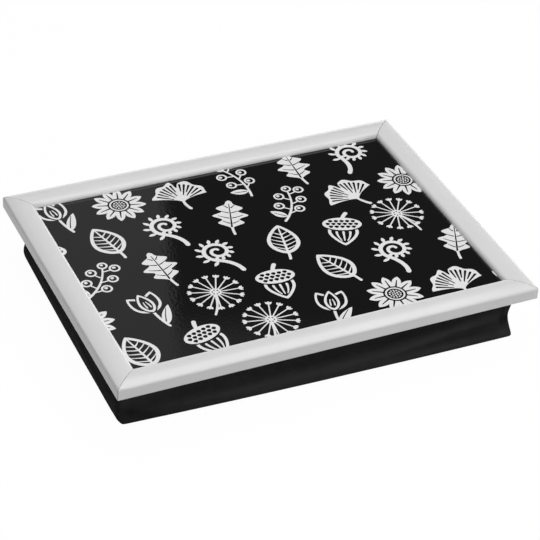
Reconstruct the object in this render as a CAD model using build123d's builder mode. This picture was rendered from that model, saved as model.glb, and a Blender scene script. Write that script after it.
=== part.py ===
from build123d import *
import os

# Lap tray on a bead cushion, in millimetres.
# Four mitred rails frame a printed board, and a cloth bag of beads is stapled under them by its hem.
# The origin is on the surface that the bag stands on, under the middle of the tray.
# X runs along the tray's long side, Y from its front to its back, and Z up.

# Whole tray
tray_length = 440.0
tray_width = 330.0
cushion_height = 50.0

# Rail section: heights run up from the rail's underside, and the crown is one arc over the whole width
rail_width = 25.5
rail_height = 14.8
crown_edge_height = 12.5
outer_edge_radius = 3.0
nose_radius = 5.0
foot_radius = 0.6
lip_width = 6.0
lip_height = 8.2
mitre_gap = 0.15

# Board of a hardboard core with a printed laminate above and a backing paper below
board_clearance = 0.5
laminate_thickness = 0.5
core_thickness = 3.0
backing_thickness = 0.3

# V-nails across the mitres
v_nail_leg = 7.0
v_nail_thickness = 0.6
v_nail_height = 7.0
v_nail_inset = 5.0
v_nail_pitch = 8.0
v_nails_per_corner = 2

# Flat points that hold the board up in its rebate
point_length = 16.0
point_width = 8.0
point_tip = 4.0
point_thickness = 0.4
point_bite = 7.0
points_on_long_side = 3
points_on_short_side = 2

# Bag cloth: the hem is its top edge under the rails, the foot its edge on the floor
cloth_thickness = 0.8
hem_inset = 11.0
hem_width = 8.0
foot_inset = 20.0
bag_corner_radius = 20.0
front_belly = 1.0
back_belly = 8.0
left_belly = 11.0
right_belly = 1.5
bag_levels = 5

# Card strips and staples that hold the hem
strip_thickness = 1.2
strip_clearance = 0.6
staple_width = 10.0
staple_wire = 0.6
staple_wire_width = 1.2
staple_leg = 6.0
staples_on_long_side = 10
staples_on_short_side = 7

# Beads inside the bag
fill_clearance = 0.3

# One length by which cutting shapes run past what they cut
cut_overrun = 1.0

# Places that follow from the sizes above
rebate_inset = rail_width - lip_width
board_length = tray_length - 2 * (rebate_inset + board_clearance)
board_width = tray_width - 2 * (rebate_inset + board_clearance)
board_top = cushion_height + lip_height
core_top = board_top - laminate_thickness
backing_top = core_top - core_thickness
board_underside = backing_top - backing_thickness
hem_level = cushion_height - cloth_thickness
lining_level = hem_level - cloth_thickness
strip_level = lining_level - strip_thickness
lining_inset = hem_inset + cloth_thickness + strip_clearance
hem_inner_inset = hem_inset + hem_width
strip_width = hem_inner_inset - lining_inset
strip_inset = lining_inset + strip_width / 2
fill_top_inset = hem_inner_inset + strip_clearance

sides = ("front", "right", "back", "left")

os.makedirs("parts", exist_ok=True)


# Places round the tray


def side_length(side):
    """The tray's outer length along one side."""
    return tray_length if side in ("front", "back") else tray_width


def count_on(side, long_count, short_count):
    """How many fasteners one side has."""
    return long_count if side in ("front", "back") else short_count


def side_plane(side, height):
    """A level plane at the middle of a side's outer edge: X runs along the side and Y inwards."""
    turn = 90 * sides.index(side)
    along = Vector(1, 0, 0).rotate(Axis.Z, turn)
    inward = Vector(0, 1, 0).rotate(Axis.Z, turn)
    reach = tray_width / 2 if side in ("front", "back") else tray_length / 2
    return Plane(origin=inward * -reach + Vector(0, 0, height), x_dir=along, z_dir=(0, 0, 1))


def corner_cuts(side, gap):
    """The two upright planes on the tray's diagonals that end a side, half a gap inside them."""
    place = side_plane(side, 0)
    half = side_length(side) / 2
    start = Plane(origin=place.from_local_coords((-half, 0, 0)), z_dir=place.x_dir - place.y_dir)
    end = Plane(origin=place.from_local_coords((half, 0, 0)), z_dir=-place.x_dir - place.y_dir)
    return start.offset(gap / 2), end.offset(gap / 2)


def level_outline(inset, corner_radius, mode=Mode.ADD):
    """A round-cornered rectangle, drawn in from the tray's outer edge by one inset on every side."""
    RectangleRounded(tray_length - 2 * inset, tray_width - 2 * inset, corner_radius, mode=mode)


# Fasteners, made first because the slots that they sit in have their shape


def hem_run(side):
    """The straight length of the hem on one side, between the bag's round corners."""
    return side_length(side) - 2 * (hem_inset + bag_corner_radius)


with BuildPart() as bag_staples:
    for side in sides:
        staple_count = count_on(side, staples_on_long_side, staples_on_short_side)
        staple_pitch = hem_run(side) / staple_count
        with BuildSketch(side_plane(side, strip_level)):
            with Locations((0, strip_inset)):
                with GridLocations(staple_pitch, staple_pitch, staple_count, 1):
                    Rectangle(staple_width, staple_wire_width)
        extrude(amount=staple_wire)
        with BuildSketch(side_plane(side, strip_level)):
            with Locations((0, strip_inset)):
                with GridLocations(staple_pitch, staple_pitch, staple_count, 1):
                    with GridLocations(staple_width - staple_wire, staple_width, 2, 1):
                        Rectangle(staple_wire, staple_wire_width)
        extrude(amount=staple_leg)

with BuildPart() as corner_v_nails:
    for side in sides:
        place = side_plane(side, cushion_height)
        corner = place.from_local_coords((-side_length(side) / 2, 0, 0))
        for step in range(v_nails_per_corner):
            near = v_nail_inset + v_nail_pitch * step
            far = near + v_nail_leg
            inner = near + v_nail_thickness
            with BuildSketch(Plane(origin=corner, x_dir=place.x_dir, z_dir=place.z_dir)):
                with BuildLine():
                    Polyline(
                        (near, near),
                        (far, near),
                        (far, inner),
                        (inner, inner),
                        (inner, far),
                        (near, far),
                        close=True,
                    )
                make_face()
            extrude(amount=v_nail_height)

with BuildPart() as board_points:
    for side in sides:
        point_count = count_on(side, points_on_long_side, points_on_short_side)
        point_pitch = (side_length(side) - 2 * rail_width) / point_count
        tip = rebate_inset - point_bite
        with BuildSketch(side_plane(side, board_underside - point_thickness)):
            with GridLocations(point_pitch, point_pitch, point_count, 1):
                Polygon(
                    (0, tip),
                    (point_width / 2, tip + point_tip),
                    (point_width / 2, tip + point_length),
                    (-point_width / 2, tip + point_length),
                    (-point_width / 2, tip + point_tip),
                )
        extrude(amount=point_thickness)


# Frame rails: one moulding with a crowned top, a lip over the board and mitred ends


def make_rail(side):
    """The rail of one side, with the slots that its fasteners sit in."""
    place = side_plane(side, cushion_height)
    length = side_length(side)
    section_plane = Plane(
        origin=place.from_local_coords((-length / 2, 0, 0)),
        x_dir=place.y_dir,
        z_dir=place.x_dir,
    )
    with BuildPart() as rail:
        with BuildSketch(section_plane) as section:
            with BuildLine():
                foot = Polyline(
                    (0, crown_edge_height),
                    (0, 0),
                    (rebate_inset, 0),
                    (rebate_inset, lip_height),
                    (rail_width, lip_height),
                    (rail_width, crown_edge_height),
                )
                ThreePointArc(foot @ 1, (rail_width / 2, rail_height), foot @ 0)
            make_face()
            fillet(section.vertices().sort_by(Axis.X)[:2].sort_by(Axis.Y)[-1], outer_edge_radius)
            fillet(section.vertices().sort_by(Axis.X)[:2].sort_by(Axis.Y)[0], foot_radius)
            fillet(section.vertices().sort_by(Axis.X)[-2:].sort_by(Axis.Y)[-1], nose_radius)
        extrude(amount=length)
        for cut in corner_cuts(side, mitre_gap):
            split(bisect_by=cut, keep=Keep.TOP)
        add(corner_v_nails.part, mode=Mode.SUBTRACT)
        add(bag_staples.part, mode=Mode.SUBTRACT)
        add(board_points.part, mode=Mode.SUBTRACT)
    return rail


for side in sides:
    rail = make_rail(side)
    rail.part.label = f"frame_rail_{side}"
    export_step(rail.part, f"parts/frame_rail_{side}.step")


# Board: three layers of one outline, clear of the rebate's walls

with BuildPart() as printed_laminate:
    with BuildSketch(Plane.XY.offset(core_top)):
        Rectangle(board_length, board_width)
    extrude(amount=laminate_thickness)

with BuildPart() as board_core:
    with BuildSketch(Plane.XY.offset(backing_top)):
        Rectangle(board_length, board_width)
    extrude(amount=core_thickness)

with BuildPart() as backing_paper:
    with BuildSketch(Plane.XY.offset(board_underside)):
        Rectangle(board_length, board_width)
    extrude(amount=backing_thickness)


# Bag: walls that belly out between the hem and a drawn-in foot


def wall_inset(height, belly):
    """How far a wall stands in from the tray's edge: a straight line from foot to hem less a parabola."""
    share = height / cushion_height
    return foot_inset + (hem_inset - foot_inset) * share - 4 * belly * share * (1 - share)


def bag_outline(height, wall):
    """The bag's outline at one height, drawn in by a wall thickness."""
    left = wall_inset(height, left_belly) + wall - tray_length / 2
    right = tray_length / 2 - wall_inset(height, right_belly) - wall
    front = wall_inset(height, front_belly) + wall - tray_width / 2
    back = tray_width / 2 - wall_inset(height, back_belly) - wall
    with Locations(((left + right) / 2, (front + back) / 2)):
        RectangleRounded(right - left, back - front, bag_corner_radius - wall)


def bag_form(low, high, wall):
    """A solid of the bag's form between two heights, drawn in by a wall thickness."""
    with BuildPart() as form:
        for step in range(bag_levels + 1):
            height = low + (high - low) * step / bag_levels
            with BuildSketch(Plane.XY.offset(height)):
                bag_outline(height, wall)
        loft()
    return form.part


bag_outside = bag_form(0, cushion_height, 0)
bag_inside = bag_form(-cut_overrun, cushion_height + cut_overrun, cloth_thickness)

with BuildPart() as bag_bottom_panel:
    add(bag_outside)
    split(bisect_by=Plane.XY.offset(cloth_thickness), keep=Keep.BOTTOM)

with BuildPart() as bag_skin:
    add(bag_outside)
    split(bisect_by=Plane.XY.offset(cloth_thickness), keep=Keep.TOP)
    add(bag_inside, mode=Mode.SUBTRACT)
    with BuildSketch(Plane.XY.offset(hem_level)):
        level_outline(hem_inset + cloth_thickness / 2, bag_corner_radius - cloth_thickness / 2)
        level_outline(hem_inner_inset, bag_corner_radius - hem_width, Mode.SUBTRACT)
    extrude(amount=cloth_thickness)
    add(bag_staples.part, mode=Mode.SUBTRACT)

for side in sides:
    with BuildPart() as bag_side:
        add(bag_skin.part)
        for cut in corner_cuts(side, 0):
            split(bisect_by=cut, keep=Keep.TOP)
    bag_side.part.label = f"bag_side_{side}"
    export_step(bag_side.part, f"parts/bag_side_{side}.step")

with BuildPart() as bag_top_lining:
    with BuildSketch(Plane.XY.offset(lining_level)):
        level_outline(lining_inset, bag_corner_radius - cloth_thickness - strip_clearance)
    extrude(amount=cloth_thickness)
    add(bag_staples.part, mode=Mode.SUBTRACT)

for side in sides:
    with BuildPart() as tack_strip:
        with BuildSketch(side_plane(side, strip_level)):
            with Locations((0, strip_inset)):
                Rectangle(hem_run(side), strip_width)
        extrude(amount=strip_thickness)
        add(bag_staples.part, mode=Mode.SUBTRACT)
    tack_strip.part.label = f"tack_strip_{side}"
    export_step(tack_strip.part, f"parts/tack_strip_{side}.step")


# Beads: one mass that fills the bag up to the strips, and up to the lining between them

with BuildPart() as bead_filling:
    add(bag_form(cloth_thickness, strip_level, cloth_thickness + fill_clearance))
    with BuildSketch(Plane.XY.offset(strip_level)):
        level_outline(fill_top_inset, bag_corner_radius - hem_width)
    extrude(amount=strip_thickness)


# Labels and files of the pieces that no loop has written

bag_staples.part.label = "bag_staples"
export_step(bag_staples.part, "parts/bag_staples.step")
corner_v_nails.part.label = "corner_v_nails"
export_step(corner_v_nails.part, "parts/corner_v_nails.step")
board_points.part.label = "board_points"
export_step(board_points.part, "parts/board_points.step")
printed_laminate.part.label = "printed_laminate"
export_step(printed_laminate.part, "parts/printed_laminate.step")
board_core.part.label = "board_core"
export_step(board_core.part, "parts/board_core.step")
backing_paper.part.label = "backing_paper"
export_step(backing_paper.part, "parts/backing_paper.step")
bag_bottom_panel.part.label = "bag_bottom_panel"
export_step(bag_bottom_panel.part, "parts/bag_bottom_panel.step")
bag_top_lining.part.label = "bag_top_lining"
export_step(bag_top_lining.part, "parts/bag_top_lining.step")
bead_filling.part.label = "bead_filling"
export_step(bead_filling.part, "parts/bead_filling.step")
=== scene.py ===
# %% [markdown]
# # A lap tray on a bead cushion
# The tray is a picture frame: four mitred rails round a printed, glossy board.
# A cotton bag of foam beads hangs under it, held by its hem, and settles on whatever it stands on.
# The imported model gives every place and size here, so this script only gives the pieces their surfaces.

import math

import bpy
import numpy as np
from mathutils import Matrix, Vector
from mathutils.geometry import delaunay_2d_cdt


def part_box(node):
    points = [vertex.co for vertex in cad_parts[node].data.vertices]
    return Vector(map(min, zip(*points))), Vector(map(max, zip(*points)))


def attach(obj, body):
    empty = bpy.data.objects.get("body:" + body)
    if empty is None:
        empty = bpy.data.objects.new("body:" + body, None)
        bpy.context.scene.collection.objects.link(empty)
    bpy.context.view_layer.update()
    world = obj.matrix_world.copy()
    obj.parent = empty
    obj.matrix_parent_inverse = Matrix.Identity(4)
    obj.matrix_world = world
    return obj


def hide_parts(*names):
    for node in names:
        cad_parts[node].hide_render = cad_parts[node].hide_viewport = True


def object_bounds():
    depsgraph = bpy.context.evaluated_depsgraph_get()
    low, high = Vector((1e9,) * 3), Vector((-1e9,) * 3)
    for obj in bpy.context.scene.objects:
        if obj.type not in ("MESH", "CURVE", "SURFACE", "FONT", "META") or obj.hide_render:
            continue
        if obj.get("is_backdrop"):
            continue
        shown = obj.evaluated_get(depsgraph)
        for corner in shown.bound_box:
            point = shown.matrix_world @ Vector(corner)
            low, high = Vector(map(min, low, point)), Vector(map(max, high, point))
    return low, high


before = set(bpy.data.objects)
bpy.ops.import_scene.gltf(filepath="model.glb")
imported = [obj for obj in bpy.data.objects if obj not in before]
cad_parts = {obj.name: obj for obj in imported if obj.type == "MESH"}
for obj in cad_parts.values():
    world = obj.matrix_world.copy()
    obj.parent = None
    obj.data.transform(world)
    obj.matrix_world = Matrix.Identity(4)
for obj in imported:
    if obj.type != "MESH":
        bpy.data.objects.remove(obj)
cad_low, cad_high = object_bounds()
MM = 0.001
print("nodes in the packed model:", len(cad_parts))
print("CAD box in mm:", [round(v / MM, 1) for v in (cad_high - cad_low)])

# %% [markdown]
# ## Measures from the model
# Every surface below is worked out from the boxes of the nodes it stands for, so that it lands on them.
# Lengths are in metres, and a value that comes from a millimetre size is written as that size times MM.

# %% Measures
rail_low, rail_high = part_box("frame_rail_front")
board_low, board_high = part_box("printed_laminate")

half_length = cad_high.x
half_width = cad_high.y
frame_floor = rail_low.z
crown_level = rail_high.z
board_level = board_high.z
rail_width = rail_high.y - rail_low.y
lip_height = board_level - frame_floor
board_clearance = 0.5 * MM
rebate_inset = half_length - board_high.x - board_clearance
side_names = ("front", "right", "back", "left")
measured = [round(v / MM, 2) for v in (rail_width, lip_height, rebate_inset)]
print("rail width, lip height, rebate inset in mm:", measured)

# %% [markdown]
# ## Camera
# The photograph was taken with a long lens from about two metres, a little above and to the left.
# The lens length follows from the size that the tray has in a picture 540 pixels wide, and the camera is
# tipped over by a few degrees, which is why the tray's front edge climbs so steeply to the right.

# %% Camera
picture_width_pixels = 540
focus_pixels = 2034.0
sensor_width_mm = 36.0
camera_azimuth = math.radians(-26.293)
camera_elevation = math.radians(36.249)
camera_roll = math.radians(3.498)
camera_distance = 2039.6 * MM
camera_aside = 5.2 * MM
camera_above = -18.25 * MM
farthest_seen = 50.0


def camera_axes(azimuth, elevation, roll):
    """Right, up and back of a camera, where back points from the object to the camera.

    Roll turns right and up about back.
    """
    back = np.array(
        [
            math.sin(azimuth) * math.cos(elevation),
            -math.cos(azimuth) * math.cos(elevation),
            math.sin(elevation),
        ]
    )
    level = np.cross([0.0, 0.0, 1.0], back)
    level /= np.linalg.norm(level)
    top = np.cross(back, level)
    right = math.cos(roll) * level + math.sin(roll) * top
    up = -math.sin(roll) * level + math.cos(roll) * top
    return right, up, back


right, up, back = camera_axes(camera_azimuth, camera_elevation, camera_roll)
tray_middle = np.array([0.0, 0.0, frame_floor])
camera_place = tray_middle + back * camera_distance + right * camera_aside + up * camera_above

camera = bpy.data.objects.new("camera", bpy.data.cameras.new("camera"))
bpy.context.scene.collection.objects.link(camera)
camera.data.sensor_width = sensor_width_mm
camera.data.lens = focus_pixels / picture_width_pixels * sensor_width_mm
camera.data.clip_end = farthest_seen
camera.matrix_world = Matrix(
    [[right[i], up[i], back[i], camera_place[i]] for i in range(3)] + [[0.0, 0.0, 0.0, 1.0]]
)
bpy.context.scene.camera = camera
bpy.context.scene.view_settings.view_transform = "Standard"
print("lens in mm:", round(camera.data.lens, 1))

# %% [markdown]
# ## Helpers for shaders and meshes
# Colours are written as they are seen, as sRGB hex values, and a shader wants them linear, so one function
# turns them. One function adds a shader node with its settings and links. A surface is a grid of points in a
# numpy array, and one function closes a row of such rings into faces.

# %% Helpers


def linear(code):
    """An sRGB hex colour as linear red, green, blue and alpha.

    The low part is divided by 12.92, and the rest follows a power of 2.4.
    """
    seen = np.array([int(code[i : i + 2], 16) / 255 for i in (1, 3, 5)])
    low = seen / 12.92
    high = ((seen + 0.055) / 1.055) ** 2.4
    return (*np.where(seen <= 0.04045, low, high), 1.0)


def add_node(tree, kind, inputs=(), **settings):
    """Add a shader node. Settings are its own properties.

    Inputs give a socket its value, or the output of another node that it takes.
    """
    made = tree.nodes.new(kind)
    for name, value in settings.items():
        setattr(made, name, value)
    for socket, value in dict(inputs).items():
        if isinstance(value, bpy.types.NodeSocket):
            tree.links.new(value, made.inputs[socket])
        else:
            made.inputs[socket].default_value = value
    return made


def new_material(name):
    """A material with a Principled shader alone. It returns the material, its tree and the shader."""
    material = bpy.data.materials.new(name)
    material.use_nodes = True
    tree = material.node_tree
    tree.nodes.clear()
    shader = add_node(tree, "ShaderNodeBsdfPrincipled")
    add_node(tree, "ShaderNodeOutputMaterial", {"Surface": shader.outputs["BSDF"]})
    return material, tree, shader


def new_piece(name, points, faces, materials, smooth=True):
    """A mesh object at the origin from an array of points and a list of faces."""
    mesh = bpy.data.meshes.new(name)
    mesh.from_pydata(np.asarray(points).reshape(-1, 3).tolist(), [], faces)
    for material in materials:
        mesh.materials.append(material)
    mesh.polygons.foreach_set("use_smooth", np.full(len(mesh.polygons), smooth))
    mesh.update()
    piece = bpy.data.objects.new(name, mesh)
    bpy.context.scene.collection.objects.link(piece)
    return piece


def ring_faces(rings, sides):
    """The quads between neighbouring rings of points, each ring closed.

    Quad k joins points k and k + 1 of two rings.
    """
    ring, side = np.meshgrid(np.arange(rings - 1), np.arange(sides), indexing="ij")
    after = (side + 1) % sides
    near, far = ring * sides, (ring + 1) * sides
    return np.stack([near + side, near + after, far + after, far + side], -1).reshape(-1, 4).tolist()


# %% [markdown]
# ## Studio
# The tray stands on white paper. The low wall round it is dim on the left and brightens toward the right,
# and the ceiling over it is dark, which keeps the glossy board black. A pale wall panel stands behind on the
# left, and its upright edge shows in the board as the line between grey and black. Overhead the ceiling is
# paler, which the nearest part of the board mirrors as a faint glow. A wide soft lamp hangs overhead, and a
# second, smaller one stands high in front on the right: it lights the front faces and draws the highlight on
# the front rail. A world shader on the direction of the ray makes wall, ceiling and panel in one place, the
# same for every kind of ray.

# %% Studio levels
wall_level = 3.0
wall_dim = 0.2
wall_from, wall_to = -0.45, 1.0
ceiling_level = 0.09
panel_level = 0.40
glow_level = 0.30
panel_azimuth = math.radians(22.95)
panel_lean = 0.16
panel_blur = 0.003
# Mirrored by the board, the camera's line of sight rises by this share, and meets the panel's edge there.
mirrored_height = 0.591
panel_edge = panel_lean * mirrored_height
print("panel's edge, as a share of the ray's direction:", round(panel_edge, 3))

# %% World
world = bpy.data.worlds.new("studio")
bpy.context.scene.world = world
world.use_nodes = True
tree = world.node_tree
tree.nodes.clear()
direction = add_node(tree, "ShaderNodeTexCoord").outputs["Generated"]
part = add_node(tree, "ShaderNodeSeparateXYZ", {0: direction}).outputs
across = add_node(
    tree,
    "ShaderNodeVectorMath",
    {0: direction, 1: (-math.cos(panel_azimuth), math.sin(panel_azimuth), panel_lean)},
    operation="DOT_PRODUCT",
).outputs["Value"]
wall_ramp = {"From Min": wall_from, "From Max": wall_to, "To Min": wall_dim, "To Max": wall_level}
wall = add_node(
    tree, "ShaderNodeMapRange", {"Value": part["X"], **wall_ramp}, interpolation_type="SMOOTHSTEP"
).outputs["Result"]
# Each ramp: the part of the ray's direction that it follows, its start and end there, and its levels.
ramps = {
    "paper": (part["Z"], 0.18, 0.23, wall, ceiling_level),
    "panel": (across, panel_edge, panel_edge + panel_blur, 0.0, panel_level),
    "panel_end": (across, 0.55, 0.75, 1.0, 0.0),
    "panel_behind": (part["Y"], 0.0, 0.1, 0.0, 1.0),
    "glow": (part["Z"], 0.598, 0.628, 0.0, glow_level),
}
level_of = {}
for name, (share, start, end, low, high) in ramps.items():
    inputs = {"Value": share, "From Min": start, "From Max": end, "To Min": low, "To Max": high}
    ramp = add_node(tree, "ShaderNodeMapRange", inputs, interpolation_type="SMOOTHSTEP")
    level_of[name] = ramp.outputs["Result"]
panel = level_of["panel"]
for name in ("panel_end", "panel_behind"):
    panel = add_node(tree, "ShaderNodeMath", {0: panel, 1: level_of[name]}, operation="MULTIPLY").outputs[0]
studio = level_of["paper"]
for brighter in (panel, level_of["glow"]):
    studio = add_node(tree, "ShaderNodeMath", {0: studio, 1: brighter}, operation="MAXIMUM").outputs[0]
sky = add_node(tree, "ShaderNodeBackground", {"Color": studio, "Strength": 1.0})
add_node(tree, "ShaderNodeOutputWorld", {"Surface": sky.outputs["Background"]})
print("ramps in the studio:", len(ramps) + 1)

# %% Lamps


def softbox(name, place, width, depth, radiance):
    """A lamp with an even face, aimed at the tray: its power is pi * radiance * width * depth watts."""
    lamp = bpy.data.objects.new(name, bpy.data.lights.new(name, "AREA"))
    bpy.context.scene.collection.objects.link(lamp)
    lamp.data.shape = "RECTANGLE"
    lamp.data.size = width
    lamp.data.size_y = depth
    lamp.data.energy = math.pi * radiance * width * depth
    lamp.location = place
    lamp.rotation_mode = "QUATERNION"
    lamp.rotation_quaternion = (-Vector(place)).to_track_quat("-Z", "Y")
    return lamp


overhead = softbox("overhead_softbox", place=(0.10, -0.02, 1.25), width=1.6, depth=1.28, radiance=2.02)
in_front = softbox("front_softbox", place=(0.42, -1.5, 0.88), width=1.0, depth=0.8, radiance=2.5)
print("lamp powers in W:", round(overhead.data.energy, 1), round(in_front.data.energy, 1))

# %% Floor
floor_half = 6.0
page_share = 0.93
page_strength = 1.05
floor_points = floor_half * np.array([(-1, -1, 0), (1, -1, 0), (1, 1, 0), (-1, 1, 0)])
# Matt white paper: the camera and reflections see it mostly as plain white, and the rest keeps the shadow.
white_paper, tree, shader = new_material("matt_white_paper")
shader.inputs["Base Color"].default_value = linear("#A0A0A0")
shader.inputs["Roughness"].default_value = 1.0
shader.inputs["Specular IOR Level"].default_value = 0.0
ray = add_node(tree, "ShaderNodeLightPath").outputs
seen = ray["Is Camera Ray"]
for kind in ("Is Glossy Ray", "Is Transmission Ray"):
    seen = add_node(tree, "ShaderNodeMath", {0: seen, 1: ray[kind]}, operation="MAXIMUM").outputs[0]
white_share = add_node(tree, "ShaderNodeMath", {0: seen, 1: page_share}, operation="MULTIPLY").outputs[0]
page_white = {"Color": (1.0, 1.0, 1.0, 1.0), "Strength": page_strength}
plain_white = add_node(tree, "ShaderNodeEmission", page_white)
paper_mix = add_node(
    tree,
    "ShaderNodeMixShader",
    {0: white_share, 1: shader.outputs["BSDF"], 2: plain_white.outputs["Emission"]},
)
tree.links.new(paper_mix.outputs[0], tree.nodes["Material Output"].inputs["Surface"])
floor = new_piece("floor", floor_points, [(0, 1, 2, 3)], [white_paper], smooth=False)
floor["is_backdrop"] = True
print("floor side in m:", 2 * floor_half)

# %% [markdown]
# ## Frame moulding
# The rails are a wood-fibre moulding, shaped on a spindle, wrapped or sprayed pale grey and left satin.
# The finish is smooth with a very faint orange peel, and the raw fibre shows only underneath, in the rebate
# and inside the mitres.

# %% Rail finishes
cloud_size = 60 * MM
lacquer_peel_size = 1.6 * MM
lacquer_peel_depth = 0.006 * MM
fibre_width = 0.9 * MM

# Sprayed lacquer: an even pale grey, with soft-edged highlights along the crown.
satin_lacquer, tree, shader = new_material("satin_lacquer_sprayed")
shader.inputs["Roughness"].default_value = 0.2
shader.inputs["Specular IOR Level"].default_value = 0.5
where = add_node(tree, "ShaderNodeTexCoord").outputs["Object"]
cloud = add_node(tree, "ShaderNodeTexNoise", {"Vector": where, "Scale": 1 / cloud_size, "Detail": 2.0})
tint = add_node(
    tree,
    "ShaderNodeMix",
    {"Factor": cloud.outputs["Fac"], "A": linear("#D6D6D6"), "B": linear("#DCDCDC")},
    data_type="RGBA",
)
tree.links.new(tint.outputs["Result"], shader.inputs["Base Color"])
peel = add_node(tree, "ShaderNodeTexNoise", {"Vector": where, "Scale": 1 / lacquer_peel_size, "Detail": 1.0})
bump = add_node(
    tree, "ShaderNodeBump", {"Height": peel.outputs["Fac"], "Strength": 1.0, "Distance": lacquer_peel_depth}
)
tree.links.new(bump.outputs["Normal"], shader.inputs["Normal"])

# Machined wood fibre: dull and speckled brown.
raw_fibre, tree, shader = new_material("raw_wood_fibre_machined")
shader.inputs["Roughness"].default_value = 0.85
where = add_node(tree, "ShaderNodeTexCoord").outputs["Object"]
fibre = add_node(tree, "ShaderNodeTexNoise", {"Vector": where, "Scale": 1 / fibre_width, "Detail": 4.0})
tint = add_node(
    tree,
    "ShaderNodeMix",
    {"Factor": fibre.outputs["Fac"], "A": linear("#8E6F4E"), "B": linear("#B39370")},
    data_type="RGBA",
)
tree.links.new(tint.outputs["Result"], shader.inputs["Base Color"])
print("rail finishes:", satin_lacquer.name, raw_fibre.name)

# %% [markdown]
# ## Rails
# A moulding is one profile carried along a path. The profile is worked out as arcs that meet their straight
# faces without a corner, and each ring of points is slid along the rail by its own inset, which makes the
# 45 degree mitre. The first and last ring are drawn in a little, so that each joint shows as the hairline
# groove that real mitres have.

# %% Rail profile
crown_edge_height = 12.5 * MM
outer_edge_radius = 3.0 * MM
nose_radius = 5.0 * MM
foot_radius = 0.6 * MM
mitre_gap = 0.28 * MM
mitre_ease = 0.22 * MM
underside_lift = 0.05 * MM
foot_points = 7
edge_points = 16
crown_points = 26
face_shares = (0.3, 0.6, 0.85)


def arc(centre, radius, start, end, count):
    """Points on a circle, from one angle in degrees to another."""
    angle = np.radians(np.linspace(start, end, count))
    return np.stack([centre[0] + radius * np.cos(angle), centre[1] + radius * np.sin(angle)], -1)


def rail_profile():
    """The rail's section as inset and height: up the outer face, over the crown and round the lip.

    The crown is the circle through the two upper corners and the top. An edge of radius r is a circle inside
    it that touches both the crown and the upright face, so its centre is r in from the face and R - r from
    the crown's centre.
    """
    middle = rail_width / 2
    rise = (crown_level - frame_floor) - crown_edge_height
    crown_radius = (middle**2 + rise**2) / (2 * rise)
    crown_centre = np.array([middle, crown_edge_height + rise - crown_radius])
    outer = np.array([outer_edge_radius, 0.0])
    nose = np.array([rail_width - nose_radius, 0.0])
    for centre, radius in ((outer, outer_edge_radius), (nose, nose_radius)):
        centre[1] = crown_centre[1] + math.sqrt((crown_radius - radius) ** 2 - (centre[0] - middle) ** 2)
    outer_turn = math.degrees(math.atan2(*(outer - crown_centre)[::-1]))
    nose_turn = math.degrees(math.atan2(*(nose - crown_centre)[::-1]))
    foot = (foot_radius, foot_radius + underside_lift)
    painted = np.concatenate(
        [
            arc(foot, foot_radius, 270, 180, foot_points),
            [[0.0, share * outer[1]] for share in face_shares],
            arc(outer, outer_edge_radius, 180, outer_turn, edge_points),
            arc(crown_centre, crown_radius, outer_turn, nose_turn, crown_points)[1:-1],
            arc(nose, nose_radius, nose_turn, 0, edge_points),
            [[rail_width, lip_height]],
        ]
    )
    raw = np.array([[rebate_inset, lip_height], [rebate_inset, underside_lift]])
    return painted, raw


painted_profile, raw_profile = rail_profile()
profile = np.concatenate([painted_profile, raw_profile])
print("points in the rail's profile:", len(profile))

# %% Rails
ring_count = 26
sharp_angle = math.radians(34)


def inward(outline, depth):
    """A closed outline drawn in: each point moves against the mean normal of its two edges."""
    before = outline - np.roll(outline, 1, 0)
    after = np.roll(outline, -1, 0) - outline
    square = [np.stack([-edge[:, 1], edge[:, 0]], -1) for edge in (before, after)]
    normal = sum(edge / np.linalg.norm(edge, axis=1)[:, None] for edge in square)
    return outline - normal / np.linalg.norm(normal, axis=1)[:, None] * depth


def rail_rings(half_run, reach):
    """Rings of a rail along +X whose outer face is at -reach.

    Each point is slid along by its inset, so the ends are mitred. A gap square to a mitre is sqrt(2) times
    as long along the rail.
    """
    diagonal = math.sqrt(2)
    ends = []
    for section, gap in (
        (inward(profile, mitre_ease), mitre_gap / 2),
        (profile, mitre_gap / 2 + mitre_ease),
    ):
        inset, height = section.T
        ends.append(np.stack([-half_run + inset + gap * diagonal, -reach + inset, frame_floor + height], -1))
    far_ends = [end * [-1, 1, 1] for end in reversed(ends)]
    shares = np.linspace(0, 1, ring_count)[1:-1, None, None]
    middle = ends[1] * (1 - shares) + far_ends[0] * shares
    return np.concatenate([np.array(ends), middle, np.array(far_ends)])


def turned(points, quarter_turns):
    """Points turned about Z by quarter turns."""
    turn = quarter_turns * math.pi / 2
    spin = np.array([[math.cos(turn), -math.sin(turn), 0], [math.sin(turn), math.cos(turn), 0], [0, 0, 1]])
    return points @ spin.T


for quarter, side in enumerate(side_names):
    on_long_side = side in ("front", "back")
    run, reach = (half_length, half_width) if on_long_side else (half_width, half_length)
    rings = turned(rail_rings(run, reach), quarter)
    count = len(profile)
    faces = [face[::-1] for face in ring_faces(len(rings), count)]
    last = (len(rings) - 1) * count
    faces.append(list(range(count)))
    faces.append([last + k for k in reversed(range(count))])
    rail = new_piece(f"rail_{side}", rings, faces, [satin_lacquer, raw_fibre])
    first_raw = len(painted_profile) - 1
    is_raw = np.concatenate([np.tile(np.arange(count) >= first_raw, len(rings) - 1), [True, True]])
    rail.data.polygons.foreach_set("material_index", is_raw.astype(np.int32))
    rail.data.set_sharp_from_angle(angle=sharp_angle)
    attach(rail, "root")
    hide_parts(f"frame_rail_{side}")
print("rails made:", len(side_names), "points in each:", rings.size // 3)

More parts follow.
